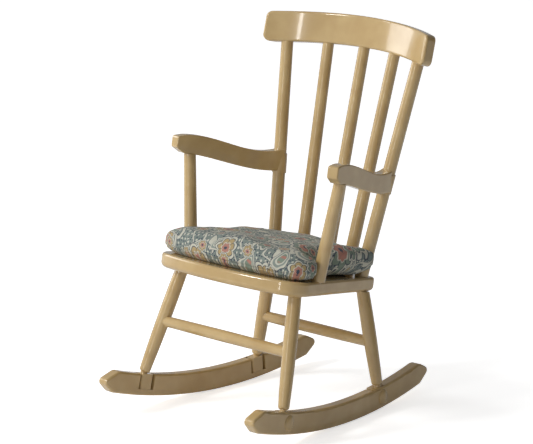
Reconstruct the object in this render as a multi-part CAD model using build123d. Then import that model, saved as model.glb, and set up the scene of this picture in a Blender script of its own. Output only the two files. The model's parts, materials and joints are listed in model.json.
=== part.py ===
from build123d import *
import math
import os

# A doll-size rocking chair in painted metal, with a loose cushion on its seat.
#
# Sizes are in millimetres and angles in degrees. The chair is laid out with its seat level, the floor
# edge of the rockers touching z = 0, x = 0 on its plane of symmetry and its front towards -Y. At the end
# the whole chair rolls back on its rockers to the tilt where it balances, and is set down with the middle
# of its footprint at the origin. Left and right are the sitter's, so left is +X.
# A point of the layout is (x, y, z) for the left side, and the right side is its mirror image.

# Gaps between pieces, and the spare length that a bar has before it is trimmed
joint_gap = 0.05            # solder and paint line around a tenon or under a shoulder
cushion_gap = 0.3           # air that keeps the soft cushion clear of the frame
overrun = 1.0
tenon_root = 1.2            # how far a tenon starts inside its own bar
wide = 400.0                # more than any side of the chair

# Rockers
rocker_radius = 194.0       # floor edge
rocker_height = 8.2
rocker_thickness = 4.6
rocker_arc_y = -16.0        # where the floor edge is lowest while the seat is level
rocker_half_spacing = 33.9  # centre plane of a rocker from the chair's centre, at rocker_arc_y
rocker_convergence = 4.4    # each rocker turns inwards towards the back
rocker_nose_run = 30.6      # from rocker_arc_y forwards to the tip of the nose
rocker_tail_run = 78.8      # from rocker_arc_y backwards to the tip of the tail
rocker_tip_rise = 3.3       # height of both tips above the floor edge
rocker_heel_run = 5.0       # how far the floor edge stops short of a tip
rocker_nose_slope_run = 7.2
rocker_tail_slope_run = 7.2
rocker_heel_rounding = 2.5
rocker_tip_rounding = 1.7
rocker_nose_rounding = 3.5  # of the top edge, where each slope begins
rocker_tail_rounding = 5.5
rocker_edge_rounding = 0.9
notch_width = 7.4           # recess in the inner face that takes the foot of a leg
notch_depth = 3.8
notch_floor = 2.4           # metal left between the recess and the floor edge
boss_half_length = 2.5      # bulge of the outer face behind each recess
boss_half_height = 2.9
boss_height = 1.0
boss_rise = 4.3             # of its middle above the floor edge
boss_offset = 1.2           # the bulge lies a little behind the leg

# Feet of the legs
foot_width = 5.6
foot_depth = 3.6
foot_edge_rounding = 0.8
foot_neck_diameter = 2.6
foot_neck_length = 0.6

# Legs
front_leg_run = -9.3        # along the rocker from rocker_arc_y, backwards positive
back_leg_run = 48.2
front_leg_top = (27.7, -19.0)
back_leg_top = (23.0, 25.1)
leg_top_diameter = 4.8
leg_middle_diameter = 5.1
leg_bottom_diameter = 4.1
leg_end_rounding = 0.9
leg_tenon_diameter = 3.2
leg_tenon_length = 2.3

# Stretchers
front_stretcher_height = 0.50   # share of the leg's length, from its foot
back_stretcher_height = 0.465
stretcher_middle_diameter = 4.3
stretcher_end_diameter = 3.9
stretcher_tenon_diameter = 2.2
stretcher_tenon_reach = 0.6     # past the leg's axis

# Seat
seat_top_z = 54.5
seat_thickness = 5.4
seat_front_half_width = 35.6
seat_front_corner_y = -26.4
seat_front_bow = 6.4
seat_rear_half_width = 24.3
seat_rear_corner_y = 30.2
seat_rear_bow = 3.4
seat_front_corner_radius = 9.0
seat_rear_corner_radius = 3.4
seat_top_edge_radius = 1.1
seat_bottom_edge_radius = 2.0

# Back: two outer posts and three spindles
post_base = (21.8, 24.6)
post_top_x = 31.8           # the crest rail gives the other places of the tops
inner_spindle_base = (11.5, 28.6)
inner_spindle_top_x = 16.1
middle_spindle_base = (0.0, 30.0)
post_bottom_diameter = 5.0
post_top_diameter = 4.6
spindle_bottom_diameter = 4.8
spindle_top_diameter = 4.3
back_tenon_diameter = 2.8
seat_tenon_length = 2.4
crest_tenon_length = 4.0

# Crest rail
crest_radius = 74.0         # of its middle surface, in plan
crest_middle_y = 35.5       # of its middle surface, at its lower edge
crest_half_width = 39.3
crest_thickness = 4.9
crest_height = 11.6
crest_bottom_z = 137.4      # at the middle
crest_crown = 4.0           # how much lower the ends are than the middle
crest_corner_radius = 2.4
crest_edge_rounding = 0.8
crest_lean = 4.4

# Arms and their front posts
arm_post_base = (31.3, -11.5)
arm_post_top = (36.6, -13.0)
arm_post_bottom_diameter = 5.0
arm_post_top_diameter = 4.5
arm_post_tenon_diameter = 2.6
arm_post_tenon_length = 3.2
arm_nose_run = 7.4         # ahead of the front post
arm_front_thickness = 4.3
arm_rear_thickness = 4.9
arm_eye_wall = 0.3         # round the back post, which passes through the arm's rear end
arm_front_top_z = 97.8
arm_front_height = 7.2
arm_dip = 3.7               # how far the top edge sinks towards the back
arm_dip_run = 26.0          # from the front post to the lowest point of the top edge
arm_rear_lift = 1.2         # of the top edge, from the dip to the back post
arm_rear_bottom_lift = 0.3  # of the bottom edge, likewise
arm_rear_height = 7.3
arm_low_point_shift = 2.0   # the bottom edge is lowest this much behind the top edge's dip
arm_nose_height = 4.2
arm_nose_drop = 0.9
arm_nose_slope_run = 3.4
arm_nose_taper = 0.2        # each edge closes in by this where the nose begins
arm_nose_rounding = 0.9
arm_edge_rounding = 0.5

# Cushion
cushion_edge_height = 8.4
cushion_crown = 3.6          # how much the middle of its top stands above the corners
cushion_front_half_width = 36.0
cushion_front_corner_y = -27.6
cushion_front_bow = 4.0
cushion_rear_corner_y = 26.4
cushion_rear_bow = -0.8      # the rear edge is slightly hollow
cushion_front_corner_radius = 8.0
cushion_lobe_corner_radius = 4.2
cushion_rear_corner_radius = 4.5
cushion_edge_rounding = 3.6
cover_thickness = 0.6

# Densities in grams per cubic centimetre, for the balance
metal_density = 7.8
fabric_density = 0.4
filling_density = 0.05

UP = Vector(0, 0, 1)
seat_bottom_z = seat_top_z - seat_thickness


# Shared shapes

def frame_along(start, end):
    """A placement with its origin at start and its z axis towards end."""
    return Plane(origin=start, z_dir=end - start).location


def round_bar(start, end, side):
    """A round bar from start to end that runs past both, turned from its side, a line or an arc."""
    r_start, length = side.position_at(0).X, (end - start).length
    r_end = side.position_at(1).X
    rest = Polyline(
        (r_end, length),
        (r_end, length + overrun),
        (0, length + overrun),
        (0, -overrun),
        (r_start, -overrun),
        (r_start, 0),
    )
    profile = Plane.XZ * make_face([side, rest])
    return frame_along(start, end) * revolve(profile, axis=Axis.Z)


def swelled(start, end, diameter_start, diameter_middle, diameter_end):
    """A round bar that is thickest near its middle."""
    length = (end - start).length
    middle = (diameter_middle / 2, length / 2)
    return round_bar(start, end, ThreePointArc((diameter_start / 2, 0), middle, (diameter_end / 2, length)))


def tapered(start, end, diameter_start, diameter_end):
    """A round bar that thins evenly from one end to the other."""
    length = (end - start).length
    return round_bar(start, end, Line((diameter_start / 2, 0), (diameter_end / 2, length)))


def pin(start, end, diameter):
    """A plain round pin from start to end."""
    height = (end - start).length
    upright = Cylinder(diameter / 2, height, align=(Align.CENTER, Align.CENTER, Align.MIN))
    return frame_along(start, end) * upright


def tenon(root, tip, diameter, length):
    """A pin that starts inside its bar, ahead of root, and reaches length past root towards tip."""
    direction = (tip - root).normalized()
    return pin(root - direction * tenon_root, root + direction * length, diameter)


def socket(root, tip, diameter, length):
    """The hole for the tenon of the same sizes, with the joint gap all round and at its end."""
    return tenon(root, tip, diameter + 2 * joint_gap, length + joint_gap)


def between_levels(shape, low, high):
    """The slice of a shape between two heights."""
    slab = Box(wide, wide, high - low, align=(Align.CENTER, Align.CENTER, Align.MIN))
    return shape & Pos(0, 0, low) * slab


def rounded_corners(outline, corners):
    """An outline with the corner nearest each given point rounded to that point's radius."""
    for point, radius in corners:
        outline = fillet(outline.vertices().sort_by_distance(point)[0], radius)
    return outline


def right_copy(shape):
    """The mirror image of a left piece."""
    return mirror(shape, about=Plane.YZ)


def at_seat_top(base):
    """A point on the top of the seat."""
    return Vector(base[0], base[1], seat_top_z)


# Rockers and feet

def rocker_plane():
    """The left rocker's centre plane: x runs backwards along it, y upwards, z outwards."""
    turn = math.radians(rocker_convergence)
    backwards = (-math.sin(turn), math.cos(turn), 0)
    outwards = (math.cos(turn), math.sin(turn), 0)
    return Plane(origin=(rocker_half_spacing, rocker_arc_y, 0), x_dir=backwards, z_dir=outwards)


def on_rocker(run, rise):
    """A point of the rocker's side, by its run along the floor and its rise above the floor edge."""
    return (run, rocker_radius - math.sqrt((rocker_radius - rise) ** 2 - run ** 2))


def rocker_outline():
    """The side view of a rocker, with its sloped nose and its rounded tail."""
    heel = on_rocker(-rocker_nose_run + rocker_heel_run, 0)
    nose = on_rocker(-rocker_nose_run, rocker_tip_rise)
    nose_shoulder = on_rocker(-rocker_nose_run + rocker_nose_slope_run, rocker_height)
    tail_shoulder = on_rocker(rocker_tail_run - rocker_tail_slope_run, rocker_height)
    tail = on_rocker(rocker_tail_run, rocker_tip_rise)
    tail_heel = on_rocker(rocker_tail_run - rocker_heel_run, 0)
    outline = make_face([
        ThreePointArc(heel, on_rocker(0, 0), tail_heel),
        Polyline(tail_heel, tail, tail_shoulder),
        ThreePointArc(tail_shoulder, on_rocker(0, rocker_height), nose_shoulder),
        Polyline(nose_shoulder, nose, heel),
    ])
    return rounded_corners(outline, [
        (heel, rocker_heel_rounding),
        (nose, rocker_tip_rounding),
        (nose_shoulder, rocker_nose_rounding),
        (tail_shoulder, rocker_tail_rounding),
        (tail, rocker_tip_rounding),
        (tail_heel, rocker_heel_rounding),
    ])


def foot_location(run, rise):
    """A placement on the rocker's centre plane, turned so that its y axis is square to the floor edge."""
    turn = math.degrees(math.asin(run / rocker_radius))
    x, y = on_rocker(run, rise)
    return rocker_plane().location * Location((x, y, 0), (0, 0, turn))


def recess(run):
    """The space for a leg's foot, open at the top and at the rocker's inner face."""
    tall = rocker_height - notch_floor + overrun
    wide_open = notch_depth + overrun
    block = Box(notch_width, tall, wide_open, align=(Align.CENTER, Align.MIN, Align.MAX))
    back_wall = notch_depth - rocker_thickness / 2
    return foot_location(run, notch_floor) * Pos(0, 0, back_wall) * block


def boss(run):
    """The smooth bulge of the rocker's outer face behind a recess."""
    bulge = scale(Sphere(1), by=(boss_half_length, boss_half_height, boss_height))
    return foot_location(run + boss_offset, boss_rise) * Pos(0, 0, rocker_thickness / 2) * bulge


def rocker():
    """The left rocker, with its two recesses and bulges."""
    blank = extrude(rocker_plane() * rocker_outline(), amount=rocker_thickness / 2, both=True)
    outwards = Axis(rocker_plane().origin, rocker_plane().z_dir)
    faces = blank.faces().sort_by(outwards)
    blank = fillet(faces[0].edges() + faces[-1].edges(), rocker_edge_rounding)
    for run in (front_leg_run, back_leg_run):
        blank = blank + boss(run) - recess(run)
    return blank


def foot(run):
    """The square foot of a leg, seated in its recess and flush with the rocker's inner face and top."""
    tall = rocker_height - notch_floor - joint_gap
    block = Box(foot_width, tall, foot_depth, align=(Align.CENTER, Align.MIN, Align.MIN))
    block = fillet(block.edges().filter_by(Axis.Y), foot_edge_rounding)
    return foot_location(run, notch_floor + joint_gap) * Pos(0, 0, -rocker_thickness / 2) * block


# Legs and stretchers

def leg_axis(run, top):
    """The ends of a leg's axis, on the rocker's top and at the seat's underside."""
    return foot_location(run, rocker_height).position, Vector(top[0], top[1], seat_bottom_z)


def leg_blank(run, top):
    """The round part of a leg, with a rounded lower end just clear of the rocker."""
    low, high = leg_axis(run, top)
    direction = (high - low).normalized()
    start = low + direction * (foot_neck_length + overrun)
    bar = swelled(start, high, leg_bottom_diameter, leg_middle_diameter, leg_top_diameter)
    rim = bar.edges().sort_by(Axis(low, direction))[0]
    return between_levels(fillet(rim, leg_end_rounding), 0, seat_bottom_z)


def leg(run, top, share):
    """A leg with its foot, its tenon for the seat and the socket for its stretcher."""
    low, high = leg_axis(run, top)
    neck = tenon(low, high, foot_neck_diameter, foot_neck_length + overrun)
    body = leg_blank(run, top) + foot(run) + neck
    body = body + tenon(high, high + (high - low), leg_tenon_diameter, leg_tenon_length)
    return body - stretcher_tenon(stretcher_end(run, top, share), joint_gap)


def stretcher_end(run, top, share):
    """Where a stretcher's axis meets the left leg's axis."""
    low, high = leg_axis(run, top)
    return low + (high - low) * share


def stretcher_tenon(end, gap=0.0):
    """The pin at a stretcher's left end, widened and lengthened by a gap."""
    reach = Vector(stretcher_tenon_reach + gap, 0, 0)
    inside = Vector(leg_middle_diameter, 0, 0)
    return pin(end - inside, end + reach, stretcher_tenon_diameter + 2 * gap)


def stretcher(run, top, share):
    """The round bar between two legs, its ends shaped to their sides."""
    end = stretcher_end(run, top, share)
    other_end = Vector(-end.X, end.Y, end.Z)
    legs = leg_blank(run, top) + right_copy(leg_blank(run, top))
    pins = stretcher_tenon(end) + right_copy(stretcher_tenon(end))
    diameters = (stretcher_end_diameter, stretcher_middle_diameter, stretcher_end_diameter)
    return swelled(other_end, end, *diameters) - legs + pins


# Seat

def bowed_plan(corners, front_bow, rear_bow):
    """A plan with bowed ends, from the left side's corners and their radii, front to rear."""
    left = [point for point, radius in corners]
    right = [(-x, y) for x, y in left]
    outline = make_face([
        ThreePointArc(right[0], (0, left[0][1] - front_bow), left[0]),
        Polyline(*left),
        ThreePointArc(left[-1], (0, left[-1][1] + rear_bow), right[-1]),
        Polyline(*reversed(right)),
    ])
    mirrored = [((-point[0], point[1]), radius) for point, radius in corners]
    return rounded_corners(outline, corners + mirrored)


def seat():
    """The seat, with sockets above for the back and the arm posts and below for the legs."""
    corners = [
        ((seat_front_half_width, seat_front_corner_y), seat_front_corner_radius),
        ((seat_rear_half_width, seat_rear_corner_y), seat_rear_corner_radius),
    ]
    outline = bowed_plan(corners, seat_front_bow, seat_rear_bow)
    slab = extrude(Pos(0, 0, seat_bottom_z) * outline, amount=seat_thickness)
    slab = fillet(slab.edges().group_by(Axis.Z)[-1], seat_top_edge_radius)
    slab = fillet(slab.edges().group_by(Axis.Z)[0], seat_bottom_edge_radius)
    for run, top in ((front_leg_run, front_leg_top), (back_leg_run, back_leg_top)):
        low, high = leg_axis(run, top)
        hole = socket(high, high + (high - low), leg_tenon_diameter, leg_tenon_length)
        slab = slab - hole - right_copy(hole)
    uprights = [(axis, back_tenon_diameter) for axis in back_axes()]
    uprights.append((arm_post_axis(), arm_post_tenon_diameter))
    for (low, high), diameter in uprights:
        hole = socket(low, low + (low - high), diameter, seat_tenon_length)
        slab = slab - hole - right_copy(hole)
    return slab


# Crest rail and back

def crest_point(x):
    """A point of the crest's middle surface on its lower edge."""
    y = crest_middle_y - crest_radius + math.sqrt(crest_radius ** 2 - x ** 2)
    return Vector(x, y, crest_bottom_z - crest_crown * (x / crest_half_width) ** 2)


def crest_blank():
    """The crest rail before its sockets are drilled: a curved plank with arched edges."""
    outer = Cylinder(crest_radius + crest_thickness / 2, 4 * crest_height)
    inner = Cylinder(crest_radius - crest_thickness / 2, 4 * crest_height)
    ring = Pos(0, crest_middle_y - crest_radius, crest_bottom_z) * (outer - inner)
    ends = [(side * crest_half_width, -crest_crown) for side in (-1, 1)]
    tops = [(x, z + crest_height) for x, z in ends]
    front = make_face([
        ThreePointArc(ends[0], (0, 0), ends[1]),
        Line(ends[1], tops[1]),
        ThreePointArc(tops[1], (0, crest_height), tops[0]),
        Line(tops[0], ends[0]),
    ])
    front = rounded_corners(front, [(corner, crest_corner_radius) for corner in ends + tops])
    front_view = Plane(origin=(0, 0, crest_bottom_z), x_dir=(1, 0, 0), z_dir=(0, -1, 0))
    plank = ring & extrude(front_view * front, amount=-(crest_middle_y + crest_radius))
    curved = plank.faces().filter_by(GeomType.CYLINDER)
    broad = curved.sort_by(SortBy.AREA)[-2:]
    plank = fillet(broad[0].edges() + broad[1].edges(), crest_edge_rounding)
    return plank.rotate(Axis((0, crest_middle_y, crest_bottom_z), (1, 0, 0)), -crest_lean)


def back_axes():
    """The lower and upper ends of the axes of the left post, the left inner spindle and the middle one."""
    bases = (post_base, inner_spindle_base, middle_spindle_base)
    tops = (post_top_x, inner_spindle_top_x, middle_spindle_base[0])
    return [(at_seat_top(base), crest_point(x)) for base, x in zip(bases, tops)]


def crest():
    """The crest rail, with its five sockets."""
    rail = crest_blank()
    for low, high in back_axes():
        hole = socket(high, high + (high - low), back_tenon_diameter, crest_tenon_length)
        rail = rail - hole - right_copy(hole)
    return rail


def back_post_column(gap):
    """The left back post's round bar, widened all round by a gap."""
    low, high = back_axes()[0]
    return tapered(low, high, post_bottom_diameter + 2 * gap, post_top_diameter + 2 * gap)


def back_bar(low, high, diameter_low, diameter_high):
    """A post or spindle of the back, shaped to the seat and the crest rail, with a tenon for each."""
    bar = between_levels(tapered(low, high, diameter_low, diameter_high), seat_top_z, 2 * crest_bottom_z)
    bar = bar - crest_blank()
    bar = bar + tenon(low, low + (low - high), back_tenon_diameter, seat_tenon_length)
    return bar + tenon(high, high + (high - low), back_tenon_diameter, crest_tenon_length)


# Arms and arm posts

def arm_bottom_z():
    """The height of an arm's lower edge above its front post."""
    return arm_front_top_z - arm_front_height


def arm_post_axis():
    """The ends of the left arm post's axis, on the seat and under the arm."""
    return at_seat_top(arm_post_base), Vector(arm_post_top[0], arm_post_top[1], arm_bottom_z())


def eye_centre():
    """Where the back post's axis passes the arm, at the arm's lower edge in front."""
    low, high = back_axes()[0]
    return low + (high - low) * ((arm_bottom_z() - low.Z) / (high.Z - low.Z))


def arm_plane():
    """The left arm's centre plane: x runs backwards along it, y upwards, z outwards."""
    low, high = arm_post_axis()
    along = eye_centre() - high
    return Plane(origin=(high.X, high.Y, 0), x_dir=along, z_dir=along.cross(UP))


def arm_outline(length):
    """The side view of an arm: a long S with a blunt nose."""
    top, bottom = arm_front_top_z, arm_bottom_z()
    dip_top = top - arm_dip
    dip_bottom = dip_top - arm_rear_height
    nose_top = top - arm_nose_drop
    start_top = (-arm_nose_run + arm_nose_slope_run, top - arm_nose_taper)
    start_bottom = (-arm_nose_run + arm_nose_slope_run, bottom + arm_nose_taper)
    end_top = (length, dip_top + arm_rear_lift)
    end_bottom = (length, dip_bottom + arm_rear_bottom_lift)
    low_point = (arm_dip_run + arm_low_point_shift, dip_bottom)
    nose = [
        start_bottom,
        (-arm_nose_run, nose_top - arm_nose_height),
        (-arm_nose_run, nose_top),
        start_top,
    ]
    outline = make_face([
        Spline(start_top, (0, top), (arm_dip_run, dip_top), end_top),
        Line(end_top, end_bottom),
        Spline(end_bottom, low_point, (0, bottom), start_bottom),
        Polyline(*nose),
    ])
    return rounded_corners(outline, [(corner, arm_nose_rounding) for corner in nose])


def arm_blank():
    """An arm before it is drilled, with the eye that wraps the back post."""
    plane = arm_plane()
    length = (eye_centre() - arm_post_axis()[1]).cross(UP).length
    side_view = plane * arm_outline(length)
    bar = extrude(side_view, amount=arm_rear_thickness, both=True)
    front, rear = arm_front_thickness / 2, arm_rear_thickness / 2
    plan = make_face(Polyline(
        (-arm_nose_run, -front), (0, -front), (length, -rear),
        (length, rear), (0, front), (-arm_nose_run, front), close=True,
    ))
    above = Plane(origin=plane.origin, x_dir=plane.x_dir, z_dir=UP)
    bar = bar & extrude(above * plan, amount=2 * arm_front_top_z)
    sides = bar.faces().filter_by(GeomType.PLANE).sort_by(SortBy.AREA)[-4:]
    bar = fillet(sides.edges().filter_by(GeomType.BSPLINE), arm_edge_rounding)
    longer_side = plane * arm_outline(length + 2 * arm_rear_thickness)
    wide_blank = extrude(longer_side, amount=4 * arm_rear_thickness, both=True)
    return bar + (back_post_column(joint_gap + arm_eye_wall) & wide_blank)


def arm():
    """An arm with the hole for the back post and the socket for its front post."""
    low, high = arm_post_axis()
    post_socket = socket(high, high + (high - low), arm_post_tenon_diameter, arm_post_tenon_length)
    return arm_blank() - back_post_column(joint_gap) - post_socket


def arm_post():
    """The front post of an arm, with a tenon for the seat and one for the arm."""
    low, high = arm_post_axis()
    bar = tapered(low, high, arm_post_bottom_diameter, arm_post_top_diameter)
    bar = between_levels(bar, seat_top_z, arm_bottom_z()) - arm_blank()
    bar = bar + tenon(low, low + (low - high), arm_post_tenon_diameter, seat_tenon_length)
    return bar + tenon(high, high + (high - low), arm_post_tenon_diameter, arm_post_tenon_length)


# Cushion

def cushion_plan():
    """The cushion's plan: lobes ahead of the arm posts, then a body that passes between those posts."""
    room = arm_post_bottom_diameter / 2 + cushion_gap
    waist, lobe_y = arm_post_base[0] - room, arm_post_base[1] - room
    corners = [
        ((cushion_front_half_width, cushion_front_corner_y), cushion_front_corner_radius),
        ((cushion_front_half_width, lobe_y), cushion_lobe_corner_radius),
        ((waist, lobe_y), room),
        ((waist, cushion_rear_corner_y), cushion_rear_corner_radius),
    ]
    return bowed_plan(corners, cushion_front_bow, cushion_rear_bow)


def crown_dome(inset):
    """The ball whose top gives the cushion its crown, from the middle down to the front corners."""
    reach = math.hypot(cushion_front_half_width, cushion_front_corner_y)
    radius = (reach ** 2 + cushion_crown ** 2) / (2 * cushion_crown)
    top = seat_top_z + cushion_gap + cushion_edge_height + cushion_crown
    return Pos(0, 0, top - radius) * Sphere(radius - inset)


def post_slot(inset):
    """The slot in the cushion's rear edge for the left back post, open backwards along the post's lean."""
    low, high = back_axes()[0]
    width = post_bottom_diameter + 2 * (cushion_gap + inset)
    slot = SlotCenterToCenter(post_bottom_diameter, width, rotation=90)
    foot_print = Pos(low.X, low.Y + post_bottom_diameter / 2, low.Z) * slot
    return extrude(foot_print, amount=2 * cushion_edge_height, dir=(high - low).normalized())


def cushion_body(inset):
    """The cushion, shrunk by an inset: flat below, crowned above and hollowed round the posts."""
    outline = offset(cushion_plan(), amount=-inset) if inset else cushion_plan()
    bottom = seat_top_z + cushion_gap + inset
    body = extrude(Pos(0, 0, bottom) * outline, amount=2 * cushion_edge_height) & crown_dome(inset)
    ends = body.faces().sort_by(Axis.Z)
    body = fillet(ends[0].edges() + ends[-1].edges(), cushion_edge_rounding - inset)
    room = 2 * (cushion_gap + inset)
    column = tapered(*arm_post_axis(), arm_post_bottom_diameter + room, arm_post_top_diameter + room)
    for hollow in (column, post_slot(inset)):
        body = body - hollow - right_copy(hollow)
    return body


# The whole chair

def frame_pieces():
    """Every piece of the metal frame by name, with the seat level."""
    front = (front_leg_run, front_leg_top, front_stretcher_height)
    back = (back_leg_run, back_leg_top, back_stretcher_height)
    post_axis, inner_axis, middle_axis = back_axes()
    spindle_sizes = (spindle_bottom_diameter, spindle_top_diameter)
    pieces = {
        "seat": seat(),
        "crest_rail": crest(),
        "middle_spindle": back_bar(*middle_axis, *spindle_sizes),
        "front_stretcher": stretcher(*front),
        "back_stretcher": stretcher(*back),
    }
    paired = {
        "rocker": rocker(),
        "front_leg": leg(*front),
        "back_leg": leg(*back),
        "back_post": back_bar(*post_axis, post_bottom_diameter, post_top_diameter),
        "inner_spindle": back_bar(*inner_axis, *spindle_sizes),
        "arm": arm(),
        "arm_post": arm_post(),
    }
    for name, shape in paired.items():
        pieces["left_" + name] = shape
        pieces["right_" + name] = right_copy(shape)
    return pieces


def cushion_pieces():
    """The cushion's cover and its filling."""
    return {
        "cushion_cover": cushion_body(0) - cushion_body(cover_thickness),
        "cushion_filling": cushion_body(cover_thickness + joint_gap),
    }


def balance_tilt(frame, cushion):
    """How far the chair rolls back until its centre of mass is over the line where it touches the floor."""
    weights = [(shape, metal_density) for shape in frame.values()]
    weights += [(cushion["cushion_cover"], fabric_density), (cushion["cushion_filling"], filling_density)]
    total = sum(shape.volume * density for shape, density in weights)
    moment = Vector(0, 0, 0)
    for shape, density in weights:
        moment += shape.center(CenterOf.MASS) * (shape.volume * density)
    centre = moment / total
    return math.degrees(math.atan2(centre.Y - rocker_arc_y, rocker_radius - centre.Z))


def set_down(pieces, tilt):
    """The pieces tilted back, with the footprint's middle at the origin and the lowest point on the floor."""
    roll_axis = Axis((0, rocker_arc_y, rocker_radius), (1, 0, 0))
    tilted = {name: shape.rotate(roll_axis, -tilt) for name, shape in pieces.items()}
    box = Compound(children=[Compound([shape]) for shape in tilted.values()]).bounding_box()
    shift = Pos(0, -(box.min.Y + box.max.Y) / 2, -box.min.Z)
    print("tilt", round(tilt, 4), "moved by", tuple(shift.position), "size", box.size)
    return {name: shift * shape for name, shape in tilted.items()}


os.makedirs("parts", exist_ok=True)
frame_set, cushion_set = frame_pieces(), cushion_pieces()
placed = set_down({**frame_set, **cushion_set}, balance_tilt(frame_set, cushion_set))
for name, shape in placed.items():
    export_step(shape, f"parts/{name}.step")
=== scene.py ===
"""A doll-size rocking chair in glossy enamel, with a loose printed cushion on its seat.

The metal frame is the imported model's, dressed here in enamel. The cushion is made here: the shape of its
filling is puffed up as cloth, settled on the seat between the posts, sewn and printed.
Lengths are in metres and angles in degrees, unless a name says otherwise.
"""

import json
import logging
import math
from dataclasses import dataclass, field
from enum import Enum
from typing import Dict, List, Sequence, Tuple, Union

import bmesh
import bpy
import numpy as np
from mathutils import Matrix, Vector


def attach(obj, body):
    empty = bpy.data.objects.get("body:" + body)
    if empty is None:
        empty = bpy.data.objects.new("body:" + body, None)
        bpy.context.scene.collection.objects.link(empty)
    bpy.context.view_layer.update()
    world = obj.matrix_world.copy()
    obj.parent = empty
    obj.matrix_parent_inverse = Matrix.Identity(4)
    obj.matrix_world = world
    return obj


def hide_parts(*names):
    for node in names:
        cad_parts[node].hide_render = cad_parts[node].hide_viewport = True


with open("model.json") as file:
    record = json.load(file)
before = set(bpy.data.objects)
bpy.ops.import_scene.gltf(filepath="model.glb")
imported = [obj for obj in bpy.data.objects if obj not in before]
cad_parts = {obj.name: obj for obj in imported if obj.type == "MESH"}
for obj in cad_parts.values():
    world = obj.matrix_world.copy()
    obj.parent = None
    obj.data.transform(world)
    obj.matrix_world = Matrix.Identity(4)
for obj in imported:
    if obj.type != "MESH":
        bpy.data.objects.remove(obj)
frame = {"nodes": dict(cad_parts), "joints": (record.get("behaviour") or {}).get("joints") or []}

MM = 0.001
LOG = logging.getLogger("rocking_chair")

Colour = Tuple[float, float, float]
Value = Union[bpy.types.NodeSocket, float, Sequence[float]]
Sockets = Dict[str, bpy.types.NodeSocket]


class Slot(Enum):
    """The record's material slots that pieces made here take their finish from."""

    CLOTH = "cushion_cloth"


class Body(Enum):
    """The bodies that pieces ride on."""

    CUSHION = "cushion"


class Turn(Enum):
    """Which way points are turned about the x axis."""

    TO_LEVEL = 1
    TO_TILTED = -1


def srgb(red: int, green: int, blue: int) -> Colour:
    """Turns a colour as a screen shows it, from 0 to 255, into linear light.

    Args:
        red: The red part.
        green: The green part.
        blue: The blue part.

    Returns:
        The three linear parts, from 0 to 1.
    """
    parts = np.array([red, green, blue]) / 255
    linear = np.where(parts <= 0.04045, parts / 12.92, ((parts + 0.055) / 1.055) ** 2.4)
    return tuple(float(part) for part in linear)


# Nodes


class Graph:
    """A hand for building a node tree, in which a value is a socket, a number or a tuple."""

    def __init__(self, tree: bpy.types.NodeTree) -> None:
        """Starts with an empty tree."""
        self.tree = tree
        tree.nodes.clear()

    def feed(self, socket: bpy.types.NodeSocket, value: Value) -> None:
        """Links a socket to another, or sets its own value."""
        if isinstance(value, bpy.types.NodeSocket):
            self.tree.links.new(value, socket)
        else:
            socket.default_value = value

    def node(
        self, kind: str, inputs: Dict[Union[int, str], Value] = {}, **settings: object
    ) -> bpy.types.Node:
        """Adds a node.

        Args:
            kind: The node's type.
            inputs: What feeds its inputs, by name or number.
            **settings: The node's own settings.

        Returns:
            The new node.
        """
        made = self.tree.nodes.new(kind)
        for name, setting in settings.items():
            setattr(made, name, setting)
        for key, value in inputs.items():
            self.feed(made.inputs[key], value)
        return made

    def math(self, operation: str, *values: Value) -> bpy.types.NodeSocket:
        """The result of a Math node."""
        return self.node("ShaderNodeMath", dict(enumerate(values)), operation=operation).outputs[0]

    def vector(self, operation: str, *values: Value) -> bpy.types.NodeSocket:
        """The vector that a Vector Math node gives."""
        return self.node("ShaderNodeVectorMath", dict(enumerate(values)), operation=operation).outputs[0]

    def scaled(self, vector: Value, factor: Value) -> bpy.types.NodeSocket:
        """A vector made longer or shorter."""
        return self.node("ShaderNodeVectorMath", {0: vector, "Scale": factor}, operation="SCALE").outputs[0]

    def parts(self, vector: Value) -> Tuple[bpy.types.NodeSocket, bpy.types.NodeSocket]:
        """The x and y of a vector."""
        made = self.node("ShaderNodeSeparateXYZ", {0: vector})
        return made.outputs[0], made.outputs[1]

    def joined(self, x: Value, y: Value) -> bpy.types.NodeSocket:
        """The flat vector of an x and a y."""
        return self.node("ShaderNodeCombineXYZ", {0: x, 1: y}).outputs[0]

    def step(self, value: Value, start: float, end: float) -> bpy.types.NodeSocket:
        """A mask that rises smoothly from 0 at start to 1 at end, or falls where end is below start."""
        low, high, first, last = (start, end, 0.0, 1.0) if start < end else (end, start, 1.0, 0.0)
        inputs = {0: value, 1: low, 2: high, 3: first, 4: last}
        return self.node("ShaderNodeMapRange", inputs, interpolation_type="SMOOTHSTEP").outputs[0]

    def mix(self, mask: Value, first: Value, second: Value) -> bpy.types.NodeSocket:
        """The first colour where the mask is 0 and the second where it is 1."""
        made = self.node("ShaderNodeMix", data_type="RGBA")
        for socket, value in zip((made.inputs[0], made.inputs[6], made.inputs[7]), (mask, first, second)):
            self.feed(socket, (*value, 1.0) if isinstance(value, tuple) else value)
        return made.outputs[2]

    def noise(self, vector: Value, scale: float, detail: float = 2.0) -> bpy.types.NodeSocket:
        """A noise value around one half."""
        inputs = {"Vector": vector, "Scale": scale, "Detail": detail}
        return self.node("ShaderNodeTexNoise", inputs).outputs["Fac"]

    def group(self, tree: bpy.types.NodeTree, **inputs: Value) -> bpy.types.Node:
        """Places a node group and feeds its inputs by name."""
        made = self.tree.nodes.new("ShaderNodeGroup")
        made.node_tree = tree
        for name, value in inputs.items():
            self.feed(made.inputs[name], value)
        return made


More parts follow.
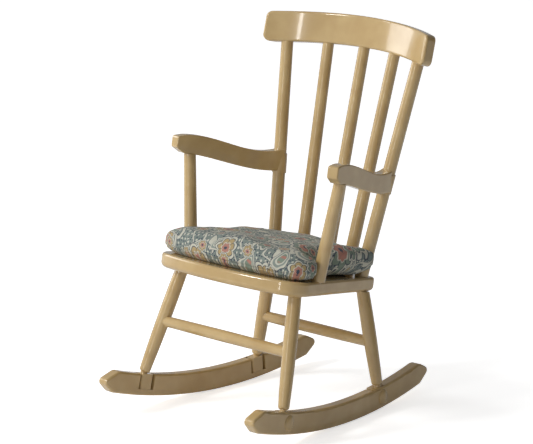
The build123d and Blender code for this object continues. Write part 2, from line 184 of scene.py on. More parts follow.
class Effect:
    """A shader node group with named inputs and outputs, built once and placed in each finish."""

    name = "effect"
    vectors: Tuple[str, ...] = ("Place",)
    numbers: Tuple[str, ...] = ()
    results: Tuple[str, ...] = ()

    @classmethod
    def tree(cls) -> bpy.types.NodeTree:
        """The group's tree, made the first time that it is asked for."""
        found = bpy.data.node_groups.get(cls.name)
        if found:
            return found
        tree = bpy.data.node_groups.new(cls.name, "ShaderNodeTree")
        graph = Graph(tree)
        for names, kind, side in (
            (cls.vectors, "NodeSocketVector", "INPUT"),
            (cls.numbers, "NodeSocketFloat", "INPUT"),
            (cls.results, "NodeSocketFloat", "OUTPUT"),
        ):
            for name in names:
                tree.interface.new_socket(name=name, in_out=side, socket_type=kind)
        given = graph.node("NodeGroupInput")
        outputs = cls.build(graph, {name: given.outputs[name] for name in cls.vectors + cls.numbers})
        graph.node("NodeGroupOutput", outputs)
        return tree

    @classmethod
    def build(cls, graph: Graph, given: Sockets) -> Sockets:
        """Builds the group's inside.

        Args:
            graph: The group's graph.
            given: The group's inputs by name.

        Returns:
            The group's outputs by name.
        """
        raise NotImplementedError


class Mottle(Effect):
    """Slow, cloudy drift of tone, from 0 to 1, as in hand-sprayed paint or washed cloth."""

    name = "mottle"
    numbers = ("Patch",)
    results = ("Tone",)

    @classmethod
    def build(cls, graph: Graph, given: Sockets) -> Sockets:
        """Two noises of one patch size and a third of it, spread to the full range."""
        broad = graph.noise(graph.scaled(given["Place"], graph.math("DIVIDE", 1.0, given["Patch"])), 1.0)
        fine = graph.noise(graph.scaled(given["Place"], graph.math("DIVIDE", 3.0, given["Patch"])), 1.0)
        total = graph.math("ADD", graph.math("MULTIPLY", broad, 0.7), graph.math("MULTIPLY", fine, 0.3))
        return {"Tone": graph.step(total, 0.32, 0.68)}


class PaintSkin(Effect):
    """The skin of thick gloss paint: a long swell, a fine peel, and small dull specks."""

    name = "paint_skin"
    numbers = ("Swell", "Peel")
    results = ("Height", "Dull")

    @classmethod
    def build(cls, graph: Graph, given: Sockets) -> Sockets:
        """The height is a noise of the swell's size plus a tenth of one of the peel's size."""
        swell = graph.noise(graph.scaled(given["Place"], graph.math("DIVIDE", 1.0, given["Swell"])), 1.0, 1.0)
        peel = graph.noise(graph.scaled(given["Place"], graph.math("DIVIDE", 1.0, given["Peel"])), 1.0, 2.0)
        height = graph.math("ADD", graph.math("MULTIPLY", swell, 0.9), graph.math("MULTIPLY", peel, 0.1))
        specks = graph.node("ShaderNodeTexVoronoi", {"Vector": given["Place"], "Scale": 160.0})
        speck = graph.step(specks.outputs["Distance"], 0.1, 0.04)
        dull = graph.math("MULTIPLY", speck, graph.step(swell, 0.5, 0.7))
        return {"Height": height, "Dull": dull}


class PlainWeave(Effect):
    """Threads that pass over and under each other by turns."""

    name = "plain_weave"
    numbers = ("Threads",)
    results = ("Height", "Gap")

    @classmethod
    def build(cls, graph: Graph, given: Sockets) -> Sockets:
        """Each thread is a rounded ridge; where two cross, a chequer says which of them is on top."""
        x, y = graph.parts(graph.scaled(given["Place"], given["Threads"]))
        ridges = []
        for place in (x, y):
            across = graph.math("SUBTRACT", graph.math("FRACT", place), 0.5)
            fall = graph.math("MULTIPLY", graph.math("MULTIPLY", across, across), 4.0)
            ridges.append(graph.math("SUBTRACT", 1.0, fall))
        crossing = graph.math("ADD", graph.math("FLOOR", x), graph.math("FLOOR", y))
        chequer = graph.math("MULTIPLY", graph.math("FRACT", graph.math("MULTIPLY", crossing, 0.5)), 2.0)
        under = graph.math("SUBTRACT", 1.0, chequer)
        warp, weft = (
            graph.math("MULTIPLY", ridge, graph.math("ADD", 0.45, graph.math("MULTIPLY", on_top, 0.55)))
            for ridge, on_top in zip(ridges, (chequer, under))
        )
        height = graph.math("MAXIMUM", warp, weft)
        return {"Height": height, "Gap": graph.step(height, 0.62, 0.3)}


class Blossom(Effect):
    """Round flowers with scalloped petals, scattered one to a cell."""

    name = "blossom"
    numbers = ("Spacing", "Radius", "Petals", "Shift")
    results = ("Reach", "Petal", "Pick")

    @classmethod
    def build(cls, graph: Graph, given: Sockets) -> Sockets:
        """Reach is 0 at a flower's middle and 1 on its scalloped rim; Petal swings from 0 to 1 round it."""
        place = graph.vector("ADD", given["Place"], graph.joined(given["Shift"], given["Shift"]))
        inputs = {"Vector": place, "Scale": graph.math("DIVIDE", 1.0, given["Spacing"]), "Randomness": 0.55}
        cells = graph.node("ShaderNodeTexVoronoi", inputs, voronoi_dimensions="2D")
        x, y = graph.parts(graph.vector("SUBTRACT", place, cells.outputs["Position"]))
        pick = graph.parts(cells.outputs["Color"])[0]
        angle = graph.math("ADD", graph.math("ARCTAN2", y, x), graph.math("MULTIPLY", pick, 6.3))
        petal = graph.math("ABSOLUTE", graph.math("COSINE", graph.math("MULTIPLY", angle, given["Petals"])))
        scallop = graph.math("ADD", 0.8, graph.math("MULTIPLY", petal, 0.28))
        grown = graph.math("MULTIPLY", given["Radius"], scallop)
        sized = graph.math("MULTIPLY", grown, graph.math("ADD", 0.8, graph.math("MULTIPLY", pick, 0.4)))
        squares = graph.math("ADD", graph.math("MULTIPLY", x, x), graph.math("MULTIPLY", y, y))
        length = graph.math("SQRT", squares)
        return {"Reach": graph.math("DIVIDE", length, sized), "Petal": petal, "Pick": pick}


class Teardrop(Effect):
    """Bent drops with one rounded and one pointed end, scattered one to a cell and turned every way."""

    name = "teardrop"
    numbers = ("Spacing", "Radius", "Shift")
    results = ("Reach", "Along")

    @classmethod
    def build(cls, graph: Graph, given: Sockets) -> Sockets:
        """A ring whose width shrinks along its length and whose axis bends as the square of that length."""
        place = graph.vector("ADD", given["Place"], graph.joined(given["Shift"], given["Shift"]))
        inputs = {"Vector": place, "Scale": graph.math("DIVIDE", 1.0, given["Spacing"]), "Randomness": 0.5}
        cells = graph.node("ShaderNodeTexVoronoi", inputs, voronoi_dimensions="2D")
        away = graph.vector("SUBTRACT", place, cells.outputs["Position"])
        offset = graph.scaled(away, graph.math("DIVIDE", 1.0, given["Radius"]))
        turn = graph.math("MULTIPLY", graph.parts(cells.outputs["Color"])[1], 6.3)
        inputs = {"Vector": offset, "Angle": turn}
        turned = graph.node("ShaderNodeVectorRotate", inputs, rotation_type="Z_AXIS")
        x, y = graph.parts(turned.outputs[0])
        bent = graph.math("ADD", x, graph.math("MULTIPLY", graph.math("MULTIPLY", y, y), 0.35))
        narrowed = graph.math("SUBTRACT", 0.6, graph.math("MULTIPLY", y, 0.42))
        width = graph.math("MAXIMUM", narrowed, 0.08)
        wide = graph.math("DIVIDE", bent, width)
        total = graph.math("ADD", graph.math("MULTIPLY", wide, wide), graph.math("MULTIPLY", y, y))
        return {"Reach": graph.math("SQRT", total), "Along": y}


# Finishes


@dataclass(frozen=True)
class EnamelFinish:
    """Thick gloss enamel over metal, with slow changes of tone and a slightly uneven skin."""

    name: str = "enamel"
    light: Colour = srgb(203, 175, 124)
    deep: Colour = srgb(190, 160, 108)
    patch: float = 14 * MM
    swell: float = 5 * MM
    peel: float = 0.9 * MM
    skin_depth: float = 0.05 * MM
    glossy: float = 0.14
    satin: float = 0.24

    def build(self) -> bpy.types.Material:
        """Makes the material.

        Returns:
            The enamel, on Object coordinates.
        """
        material = bpy.data.materials.new(self.name)
        material.use_nodes = True
        graph = Graph(material.node_tree)
        place = graph.node("ShaderNodeTexCoord").outputs["Object"]
        tone = graph.group(Mottle.tree(), Place=place, Patch=self.patch).outputs["Tone"]
        skin = graph.group(PaintSkin.tree(), Place=place, Swell=self.swell, Peel=self.peel)
        colour = graph.mix(tone, self.light, self.deep)
        even = graph.math("ADD", self.glossy, graph.math("MULTIPLY", tone, 0.06))
        dulled = graph.math("MULTIPLY", skin.outputs["Dull"], self.satin - self.glossy)
        rough = graph.math("ADD", even, dulled)
        bump = graph.node("ShaderNodeBump", {
            "Height": skin.outputs["Height"], "Distance": self.skin_depth, "Strength": 1.0,
        })
        shader = graph.node("ShaderNodeBsdfPrincipled", {
            "Base Color": colour, "Roughness": rough, "Normal": bump.outputs[0],
            "Coat Weight": 0.7, "Coat Roughness": 0.06, "IOR": 1.5,
        })
        graph.node("ShaderNodeOutputMaterial", {0: shader.outputs[0]})
        return material


@dataclass(frozen=True)
class PrintedCloth:
    """Printed cotton: a slate ground with cream ribbons, bent drops, scalloped flowers and dots."""

    name: str = "printed_cotton"
    ground: Colour = srgb(140, 150, 142)
    deep_ground: Colour = srgb(112, 124, 120)
    cream: Colour = srgb(206, 204, 188)
    navy: Colour = srgb(62, 70, 86)
    mustard: Colour = srgb(184, 160, 112)
    coral: Colour = srgb(184, 128, 112)
    sage: Colour = srgb(132, 146, 130)
    flower_rings: Tuple[Tuple[float, float], ...] = (   # where each ring's ink starts and is full
        (0.72, 0.77), (0.78, 0.83), (0.48, 0.44), (0.4, 0.36), (0.16, 0.12), (0.96, 1.0),
    )
    threads: float = 3.2
    weave_depth: float = 0.07 * MM
    roughness: float = 0.88

    def flowers(
        self, graph: Graph, place: Value, under: Value, spacing: float, radius: float, shift: float
    ) -> Value:
        """Prints scalloped flowers over a colour: a navy and cream rim, mustard petals and a coral eye.

        Args:
            graph: The material's graph.
            place: The place on the cloth in millimetres.
            under: The colour that the flowers lie on.
            spacing: The mean distance between flowers in millimetres.
            radius: A flower's radius in millimetres.
            shift: How far the scatter is moved, so that two scatters differ.

        Returns:
            The colour with the flowers on it.
        """
        flower = graph.group(
            Blossom.tree(), Place=place, Spacing=spacing, Radius=radius, Petals=3.5, Shift=shift
        )
        reach, petal = flower.outputs["Reach"], flower.outputs["Petal"]
        petals = graph.mix(graph.step(flower.outputs["Pick"], 0.45, 0.55), self.mustard, self.sage)
        veins = graph.math("MULTIPLY", graph.step(petal, 0.25, 0.05), graph.step(reach, 0.25, 0.4))
        inside = graph.mix(veins, petals, self.navy)
        inks = (self.navy, self.cream, self.cream, self.coral, self.navy, self.navy)
        for (start, end), ink in zip(self.flower_rings, inks):
            inside = graph.mix(graph.step(reach, start, end), inside, ink)
        return graph.mix(graph.step(reach, 1.08, 1.0), under, inside)

    def drops(
        self, graph: Graph, place: Value, under: Value, spacing: float, radius: float, shift: float
    ) -> Value:
        """Prints bent drops over a colour: navy, cream, slate and cream lines round a sage core with dots.

        Args:
            graph: The material's graph.
            place: The place on the cloth in millimetres.
            under: The colour that the drops lie on.
            spacing: The mean distance between drops in millimetres.
            radius: Half a drop's length in millimetres.
            shift: How far the scatter is moved.

        Returns:
            The colour with the drops on it.
        """
        drop = graph.group(Teardrop.tree(), Place=place, Spacing=spacing, Radius=radius, Shift=shift)
        reach, along = drop.outputs["Reach"], drop.outputs["Along"]
        inside = graph.mix(graph.step(reach, 0.74, 0.78), self.ground, self.cream)
        inside = graph.mix(graph.step(reach, 0.58, 0.54), inside, self.cream)
        inside = graph.mix(graph.step(reach, 0.46, 0.42), inside, self.sage)
        beads = graph.step(graph.math("SINE", graph.math("MULTIPLY", along, 11.0)), 0.2, 0.6)
        inside = graph.mix(graph.math("MULTIPLY", beads, graph.step(reach, 0.42, 0.34)), inside, self.coral)
        inside = graph.mix(graph.step(reach, 0.95, 0.99), inside, self.navy)
        return graph.mix(graph.step(reach, 1.08, 1.0), under, inside)

    def ribbons(self, graph: Graph, place: Value, under: Value) -> Value:
        """Prints winding cream ribbons with navy edges: bands along the level lines of a slow noise."""
        level = graph.math("FRACT", graph.math("MULTIPLY", graph.noise(place, 0.085, 1.0), 5.0))
        off = graph.math("ABSOLUTE", graph.math("SUBTRACT", level, 0.5))
        edged = graph.mix(graph.step(off, 0.13, 0.11), under, self.navy)
        return graph.mix(graph.step(off, 0.1, 0.08), edged, self.cream)

    def dots(self, graph: Graph, place: Value, under: Value) -> Value:
        """Prints small navy and cream dots between the motifs."""
        for spacing, shift, colour in ((1.35, 0.0, self.navy), (1.9, 7.3, self.cream)):
            moved = graph.vector("ADD", place, (shift, shift, 0.0))
            inputs = {"Vector": moved, "Scale": 1 / spacing, "Randomness": 0.45}
            cells = graph.node("ShaderNodeTexVoronoi", inputs, voronoi_dimensions="2D")
            under = graph.mix(graph.step(cells.outputs["Distance"], 0.26, 0.19), under, colour)
        return under

    def build(self) -> bpy.types.Material:
        """Makes the material.

        Returns:
            The printed cloth, which reads the cushion's own print_place attribute.
        """
        material = bpy.data.materials.new(self.name)
        material.use_nodes = True
        graph = Graph(material.node_tree)
        attribute = graph.node("ShaderNodeAttribute", attribute_name=Cushion.PRINT_PLACE)
        flat = graph.scaled(attribute.outputs["Vector"], 1 / MM)
        wobble = graph.node("ShaderNodeTexNoise", {"Vector": flat, "Scale": 0.35, "Detail": 1.0})
        drift = graph.scaled(graph.vector("SUBTRACT", wobble.outputs["Color"], (0.5, 0.5, 0.5)), 1.1)
        place = graph.vector("ADD", flat, drift)
        tone = graph.group(Mottle.tree(), Place=place, Patch=6.0).outputs["Tone"]
        colour = graph.mix(tone, self.ground, self.deep_ground)
        colour = self.dots(graph, place, colour)
        colour = self.ribbons(graph, place, colour)
        colour = self.drops(graph, place, colour, 14.0, 5.2, 3.1)
        colour = self.flowers(graph, place, colour, 17.0, 5.6, 0.0)
        colour = self.flowers(graph, place, colour, 10.5, 2.8, 11.0)
        weave = graph.group(PlainWeave.tree(), Place=flat, Threads=self.threads)
        # Painted shade: the colour is darkened towards the deep ground in the gaps between the threads, where
        # shade falls.
        painted_gap_shade = graph.math("MULTIPLY", weave.outputs["Gap"], 0.4)
        colour = graph.mix(painted_gap_shade, colour, self.deep_ground)
        fluff = graph.math("MULTIPLY", graph.noise(flat, 1.6, 3.0), 0.35)
        height = graph.math("ADD", weave.outputs["Height"], fluff)
        bump = graph.node("ShaderNodeBump", {"Height": height, "Distance": self.weave_depth, "Strength": 0.8})
        rough = graph.math("ADD", self.roughness, graph.math("MULTIPLY", weave.outputs["Gap"], 0.08))
        shader = graph.node("ShaderNodeBsdfPrincipled", {
            "Base Color": colour, "Roughness": rough, "Normal": bump.outputs[0],
            "Sheen Weight": 0.15, "Sheen Roughness": 0.5, "Specular IOR Level": 0.25,
        })
        graph.node("ShaderNodeOutputMaterial", {0: shader.outputs[0]})
        return material


@dataclass(frozen=True)
class PaperFloor:
    """Plain white paper, bright enough to fill shadows from below."""

    name: str = "white_paper"
    colour: Colour = (0.93, 0.93, 0.93)
    glow: float = 0.62          # as the camera sees it
    fill: float = 0.05          # as it lights the chair

    def build(self) -> bpy.types.Material:
        """Makes the floor's material."""
        material = bpy.data.materials.new(self.name)
        material.use_nodes = True
        graph = Graph(material.node_tree)
        seen = graph.node("ShaderNodeLightPath").outputs["Is Camera Ray"]
        strength = graph.math("ADD", self.fill, graph.math("MULTIPLY", seen, self.glow - self.fill))
        shader = graph.node("ShaderNodeBsdfPrincipled", {
            "Base Color": (*self.colour, 1.0), "Roughness": 0.9, "Specular IOR Level": 0.1,
            "Emission Color": (1.0, 1.0, 1.0, 1.0), "Emission Strength": strength,
        })
        graph.node("ShaderNodeOutputMaterial", {0: shader.outputs[0]})
        return material


# Meshes and frames


def points_of(mesh: bpy.types.Mesh) -> np.ndarray:
    """The mesh's vertices as an array of rows."""
    flat = np.zeros(len(mesh.vertices) * 3, np.float32)
    mesh.vertices.foreach_get("co", flat)
    return flat.reshape(-1, 3).astype(float)


def put_points(mesh: bpy.types.Mesh, points: np.ndarray) -> None:
    """Writes an array of rows into the mesh's vertices."""
    mesh.vertices.foreach_set("co", points.astype(np.float32).ravel())
    mesh.update()


def smoothstep(value: np.ndarray, start: float, end: float) -> np.ndarray:
    """Rises smoothly from 0 at start to 1 at end: three squares less two cubes of the share between."""
    share = np.clip((value - start) / (end - start), 0, 1)
    return share * share * (3 - 2 * share)


@dataclass(frozen=True)
class SeatLevel:
    """The turn between the standing frame, in which the chair leans back, and one with a level seat."""

    tilt: float
    LIFT_ANGLE = 45.0

    @classmethod
    def of_chair(cls) -> "SeatLevel":
        """Finds the tilt from the cushion's lift, which runs forwards and up at a known angle to the seat."""
        lift = next(joint for joint in frame["joints"] if joint["name"] == "cushion_lift")
        rise = math.atan2(lift["axis"][2], -lift["axis"][1])
        return cls(rise - math.radians(cls.LIFT_ANGLE))

    def turned(self, points: np.ndarray, turn: Turn) -> np.ndarray:
        """Turns points about the x axis by the tilt.

        Args:
            points: Rows of x, y and z.
            turn: Whether they come out level or tilted.

        Returns:
            The turned rows.
        """
        c, s = math.cos(self.tilt), math.sin(self.tilt) * turn.value
        x, y, z = np.asarray(points, float).T
        return np.stack([x, y * c - z * s, y * s + z * c], axis=1)

    def node_points(self, node: str) -> np.ndarray:
        """A CAD node's vertices with the seat level."""
        return self.turned(points_of(frame["nodes"][node].data), Turn.TO_LEVEL)


@dataclass(frozen=True)
class Upright:
    """A round post in the level frame: a point on its axis, the axis's direction, and its radius."""

    foot: np.ndarray
    direction: np.ndarray
    radius: float

    @classmethod
    def of_node(cls, node: str, level: SeatLevel, seat_top: float) -> "Upright":
        """Reads a post from its CAD node, whose two tenons end in small rings on its axis.

        Args:
            node: The post's name.
            level: The turn to the level frame.
            seat_top: The height of the seat's top in that frame.

        Returns:
            The post.
        """
        points = level.node_points(node)
        heights = points[:, 2]
        ring = 0.5 * MM
        low = points[heights < heights.min() + ring]
        high = points[heights > heights.max() - ring]
        foot, head = (low.min(0) + low.max(0)) / 2, (high.min(0) + high.max(0)) / 2
        direction = (head - foot) / np.linalg.norm(head - foot)
        shoulder = points[np.abs(heights - seat_top) < ring]
        away = shoulder - foot
        across = away - np.outer(away @ direction, direction)
        return cls(foot, direction, float(np.linalg.norm(across, axis=1).max()))

    def pushed_off(self, points: np.ndarray, gap: float) -> np.ndarray:
        """Moves the points that lie inside the post, or nearer to it than a gap, straight out to that gap."""
        away = points - self.foot
        across = away - np.outer(away @ self.direction, self.direction)
        length = np.linalg.norm(across, axis=1)
        short = np.clip(self.radius + gap - length, 0, None)
        return points + across * (short / np.maximum(length, 1e-9))[:, None]


# The chair's frame


@dataclass
class ChairFrame:
    """The metal frame, whose CAD nodes keep their shapes and are dressed in enamel."""

    finish: EnamelFinish = field(default_factory=EnamelFinish)
    bare: Tuple[str, ...] = ("cushion_cover", "cushion_filling")

    def dress(self) -> List[str]:
        """Gives each frame node the enamel.

        Returns:
            The names of the dressed nodes.
        """
        enamel = self.finish.build()
        names = [name for name in frame["nodes"] if name not in self.bare]
        for name in names:
            mesh = frame["nodes"][name].data
            mesh.materials.clear()
            mesh.materials.append(enamel)
        return names


# The cushion


@dataclass
class Cushion:
    """The loose pad: puffed as cloth from the filling's shape, then settled, sewn and printed."""

    PRINT_PLACE = "print_place"

    enlarge: float = 8.0            # the cloth is puffed at about a full-size cushion's size
    voxel: float = 6.2 * MM         # at that size
    pressure: float = 4.0
    frames: int = 20
    farthest_move: float = 14 * MM  # at that size
    seat_gap: float = 0.2 * MM
    post_gap: float = 0.15 * MM
    corner_lift: float = 2.6 * MM   # how far the left rear side stands off the seat
    flatten: float = 0.9            # how much of its height the pad keeps when it is pressed
    lobe_reach: float = 2.4 * MM    # how far that side stands out past the back post
    lump: float = 0.45 * MM
    seam_height: float = 2.3 * MM
    seam_depth: float = 0.3 * MM
    seam_width: float = 0.6 * MM
    pucker: float = 0.1 * MM
    pucker_length: float = 2.4 * MM
    rounding: float = 16 * MM       # of the plan that the print is folded down over
    fill: float = 0.75
    finish: PrintedCloth = field(default_factory=PrintedCloth)
    level: SeatLevel = field(default_factory=SeatLevel.of_chair)

    def seat_top(self) -> float:
        """The height of the seat's top in the level frame."""
        return float(self.level.node_points("seat")[:, 2].max())

    def core(self) -> Tuple[bpy.types.Object, np.ndarray]:
        """Copies the filling, level, enlarged and centred, with its loose triangles joined up.

        Returns:
            The copy, and the point that was moved to the origin.
        """
        mesh = frame["nodes"]["cushion_filling"].data.copy()
        points = self.level.turned(points_of(mesh), Turn.TO_LEVEL)
        middle = (points.min(0) + points.max(0)) / 2
        put_points(mesh, (points - middle) * self.enlarge)
        shell = bmesh.new()
        shell.from_mesh(mesh)
        bmesh.ops.remove_doubles(shell, verts=shell.verts, dist=0.02 * MM * self.enlarge)
        shell.to_mesh(mesh)
        shell.free()
        made = bpy.data.objects.new("cushion_core", mesh)
        bpy.context.scene.collection.objects.link(made)
        return made, middle

    def evaluated(self, made: bpy.types.Object) -> bpy.types.Mesh:
        """The object's mesh with its modifiers applied."""
        graph = bpy.context.evaluated_depsgraph_get()
        return bpy.data.meshes.new_from_object(made.evaluated_get(graph), depsgraph=graph)

    def remesh(self, made: bpy.types.Object) -> None:
        """Gives the object an even skin of small squares."""
        skin = made.modifiers.new("even_skin", "REMESH")
        skin.mode, skin.voxel_size = "VOXEL", self.voxel
        mesh = self.evaluated(made)
        made.modifiers.clear()
        made.data = mesh

    def puff(self, made: bpy.types.Object) -> None:
        """Blows the skin up as cloth, without gravity, and keeps each point within reach of where it was."""
        cloth = made.modifiers.new("puff", "CLOTH")
        cloth.settings.use_pressure = True
        cloth.settings.uniform_pressure_force = self.pressure
        cloth.settings.effector_weights.gravity = 0.0
        cloth.collision_settings.use_collision = False
        cloth.point_cache.frame_start, cloth.point_cache.frame_end = 1, self.frames
        scene = bpy.context.scene
        for moment in range(1, self.frames + 1):
            scene.frame_set(moment)
        puffed = points_of(self.evaluated(made))
        scene.frame_set(1)
        made.modifiers.clear()
        before = points_of(made.data)
        move = puffed - before
        length = np.linalg.norm(move, axis=1)
        share = np.minimum(1, self.farthest_move / np.maximum(length, 1e-9))
        put_points(made.data, before + move * share[:, None])

    def refine(self, made: bpy.types.Object) -> None:
        """Adds one subdivision, applied."""
        finer = made.modifiers.new("finer", "SUBSURF")
        finer.levels = finer.render_levels = 1
        mesh = self.evaluated(made)
        made.modifiers.clear()
        made.data = mesh

    def settled(self, points: np.ndarray, seat_top: float) -> np.ndarray:
        """Lays the pad on the seat and presses it round the posts.

        Args:
            points: The pad's vertices in the level frame.
            seat_top: The height of the seat's top.

        Returns:
            The moved vertices.
        """
        x, y, z = points.T
        low, high = points.min(0), points.max(0)
        middle_x, middle_y = (low[0] + high[0]) / 2, (low[1] + high[1]) / 2
        across, along = x / MM, y / MM
        slow = np.sin(0.21 * across + 1.0) * np.cos(0.17 * along - 0.6)
        slow = slow + 0.6 * np.sin(0.34 * along + 0.13 * across)
        top = smoothstep(z, (low[2] + high[2]) / 2, high[2])
        z = z + self.lump * slow * top
        raised = smoothstep(x - middle_x, 12 * MM, 30 * MM) * smoothstep(y - middle_y, -4 * MM, 10 * MM)
        z = seat_top + (z - seat_top) * self.flatten + self.corner_lift * raised * (1 - 0.35 * top)
        x = x + self.lobe_reach * raised
        z = np.maximum(z, seat_top + self.seat_gap)
        moved = np.stack([x, y, z], axis=1)
        kinds = ("arm_post", "back_post", "inner_spindle")
        posts = [side + kind for side in ("left_", "right_") for kind in kinds]
        for node in posts + ["middle_spindle"]:
            moved = Upright.of_node(node, self.level, seat_top).pushed_off(moved, self.post_gap)
        return moved

    def sewn(self, points: np.ndarray, normals: np.ndarray, seat_top: float) -> np.ndarray:
        """Draws the seam in: a groove round the sides, with small puckers on both sides of it.

        Args:
            points: The pad's vertices in the level frame.
            normals: Their normals in the level frame.
            seat_top: The height of the seat's top.

        Returns:
            The moved vertices.
        """
        x, y, z = points.T
        low, high = points.min(0), points.max(0)
        side = smoothstep(np.hypot(normals[:, 0], normals[:, 1]), 0.25, 0.7)
        raised = smoothstep(x, 12 * MM, 30 * MM) * smoothstep(y - (low[1] + high[1]) / 2, -4 * MM, 10 * MM)
        off = z - seat_top - self.seam_height - self.corner_lift * raised
        groove = np.exp(-((off / (self.seam_width / 2)) ** 2))
        round_way = np.arctan2(y - (low[1] + high[1]) / 2, x) * (high[0] - low[0]) / 2
        beside = np.exp(-((off / (3 * self.seam_width)) ** 2)) - groove
        ripple = self.pucker * np.sin(2 * math.pi * round_way / self.pucker_length) * beside
        return points + normals * ((ripple - self.seam_depth * groove) * side)[:, None]

    def print_places(self, points: np.ndarray) -> np.ndarray:
        """Unfolds the pad for printing: on the sides, the way down counts as more of the way out.

        Args:
            points: The pad's vertices in the level frame.

        Returns:
            Rows of x and y on the flat cloth, with a z of 0.
        """
        low, high = points.min(0), points.max(0)
        middle = (low + high) / 2
        inner = (high - low)[:2] / 2 - self.rounding
        flat = points[:, :2] - middle[:2]
        away = flat - np.clip(flat, -inner, inner)
        length = np.linalg.norm(away, axis=1)
        outwards = away / np.maximum(length, 1e-9)[:, None]
        shoulder = low[2] + 0.62 * (high[2] - low[2])
        drop = np.clip(shoulder - points[:, 2], 0, None)
        unfolded = flat + outwards * (drop * smoothstep(length, 0.0, 3 * MM))[:, None]
        return np.column_stack([unfolded, np.zeros(len(points))])

    def build(self) -> bpy.types.Object:
        """Makes the cushion, in place of its two CAD solids.

        Returns:
            The finished cushion.
        """
        made, middle = self.core()
        self.remesh(made)
        self.puff(made)
        self.refine(made)
        seat_top = self.seat_top()
        points = self.settled(points_of(made.data) / self.enlarge + middle, seat_top)
        put_points(made.data, points)
        normals = np.zeros(len(points) * 3, np.float32)
        made.data.vertices.foreach_get("normal", normals)
        points = self.sewn(points, normals.reshape(-1, 3).astype(float), seat_top)
        places = made.data.attributes.new(self.PRINT_PLACE, "FLOAT_VECTOR", "POINT")
        places.data.foreach_set("vector", self.print_places(points).astype(np.float32).ravel())
        put_points(made.data, self.level.turned(points, Turn.TO_TILTED))
        made.data.shade_smooth()
        made.data.materials.clear()
        made.data.materials.append(self.finish.build())
        made.name = made.data.name = "printed_cushion"
        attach(made, Body.CUSHION.value)
        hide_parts("cushion_cover", "cushion_filling")
        return made


# The studio


@dataclass(frozen=True)
class Lamp:
    """A soft upright light that points at the chair."""

    name: str
    place: Tuple[float, float, float]
    side: float
    power: float
    tall: float = 1.0               # its height, as a multiple of its width
    colour: Colour = (1.0, 1.0, 1.0)

    def build(self, target: Vector) -> bpy.types.Object:
        """Makes the lamp.

        Args:
            target: The point that it faces.

        Returns:
            The lamp's object.
        """
        light = bpy.data.lights.new(self.name, "AREA")
        light.shape, light.size, light.size_y = "RECTANGLE", self.side, self.side * self.tall
        light.energy, light.color = self.power, self.colour
        made = bpy.data.objects.new(self.name, light)
        made.location = self.place
        made.rotation_euler = (target - Vector(self.place)).to_track_quat("-Z", "Y").to_euler()
        bpy.context.scene.collection.objects.link(made)
        return made


@dataclass(frozen=True)
class Camera:
    """The camera, by its angles round a target; azimuth 0 looks along +Y and a positive one comes from +X."""

    azimuth: float = 41.832
    elevation: float = 13.553
    roll: float = 0.501
    distance: float = 1.0569
    target: Tuple[float, float, float] = (-0.01345, 0.00999, 0.06651)
    lens: float = 191.6

    def build(self) -> bpy.types.Object:
        """Makes the camera and gives it to the scene.

        Returns:
            The camera's object.
        """
        around, above, turn = (math.radians(angle) for angle in (self.azimuth, self.elevation, self.roll))
        back = Vector((
            math.sin(around) * math.cos(above), -math.cos(around) * math.cos(above), math.sin(above),
        ))
        level_right = Vector((0, 0, 1)).cross(back).normalized()
        level_up = back.cross(level_right)
        right = level_right * math.cos(turn) + level_up * math.sin(turn)
        up = back.cross(right)
        made = bpy.data.objects.new("camera", bpy.data.cameras.new("camera"))
        made.data.lens = self.lens
        made.data.clip_start = 0.01
        place = Vector(self.target) + back * self.distance
        made.matrix_world = Matrix.Translation(place) @ Matrix((right, up, back)).transposed().to_4x4()
        bpy.context.scene.collection.objects.link(made)
        bpy.context.scene.camera = made
        return made


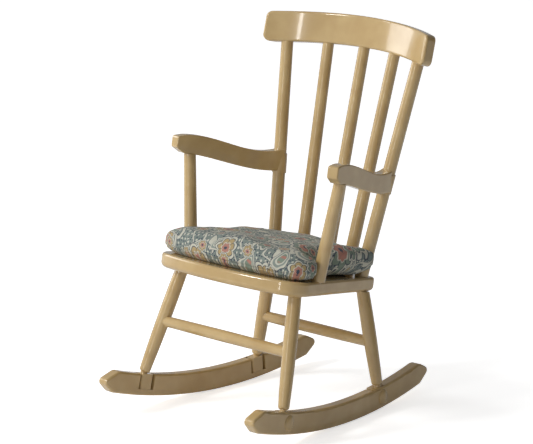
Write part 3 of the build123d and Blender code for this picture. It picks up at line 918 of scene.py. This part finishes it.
@dataclass
class Studio:
    """White paper on the floor, a soft light and a tall strip in front, a fill and an uneven sky."""

    floor_half_side: float = 6.0
    target: Tuple[float, float, float] = (0.0, 0.0, 0.07)
    lamps: Tuple[Lamp, ...] = (
        Lamp("key", (-0.5, -0.95, 0.85), 0.26, 7.0),
        Lamp("fill", (-1.2, -0.3, 0.5), 0.6, 4.0),
        Lamp("strip", (0.05, -1.3, 0.55), 0.05, 2.4, tall=22.0),
    )
    sky_left: float = 0.55
    sky_right: float = 0.03
    camera: Camera = field(default_factory=Camera)
    paper: PaperFloor = field(default_factory=PaperFloor)

    def floor(self) -> bpy.types.Object:
        """Lays the paper, one flat square."""
        half = self.floor_half_side
        corners = np.array([(-half, -half, 0), (half, -half, 0), (half, half, 0), (-half, half, 0)])
        mesh = bpy.data.meshes.new("paper")
        mesh.from_pydata(corners.tolist(), [], [(0, 1, 2, 3)])
        mesh.materials.append(self.paper.build())
        made = bpy.data.objects.new("paper", mesh)
        bpy.context.scene.collection.objects.link(made)
        return made

    def sky(self) -> None:
        """Lights the studio all round, brighter on the camera's left than on its right."""
        world = bpy.data.worlds.new("studio")
        world.use_nodes = True
        graph = Graph(world.node_tree)
        around = math.radians(self.camera.azimuth)
        left = (-math.cos(around), -math.sin(around), 0.0)
        direction = graph.node("ShaderNodeTexCoord").outputs["Generated"]
        turned = graph.node("ShaderNodeVectorMath", {0: direction, 1: left}, operation="DOT_PRODUCT")
        lean = turned.outputs["Value"]
        inputs = {0: lean, 1: -1.0, 2: 1.0, 3: self.sky_right, 4: self.sky_left}
        strength = graph.node("ShaderNodeMapRange", inputs).outputs[0]
        white = (1.0, 1.0, 1.0, 1.0)
        background = graph.node("ShaderNodeBackground", {"Color": white, "Strength": strength})
        graph.node("ShaderNodeOutputWorld", {0: background.outputs[0]})
        bpy.context.scene.world = world

    def build(self) -> None:
        """Sets up the floor, the lights, the sky and the camera."""
        bpy.context.scene.view_settings.view_transform = "Standard"
        self.floor()
        self.sky()
        for lamp in self.lamps:
            lamp.build(Vector(self.target))
        self.camera.build()


def main() -> None:
    """Builds the chair and its studio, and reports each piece."""
    logging.basicConfig(level=logging.INFO, format="%(name)s: %(message)s")
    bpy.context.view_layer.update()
    for name in ChairFrame().dress():
        LOG.info("dressed %s", name)
    cushion = Cushion().build()
    LOG.info("made %s with %d faces", cushion.name, len(cushion.data.polygons))
    Studio().build()
    bpy.context.view_layer.update()


if __name__ == "__main__":
    main()
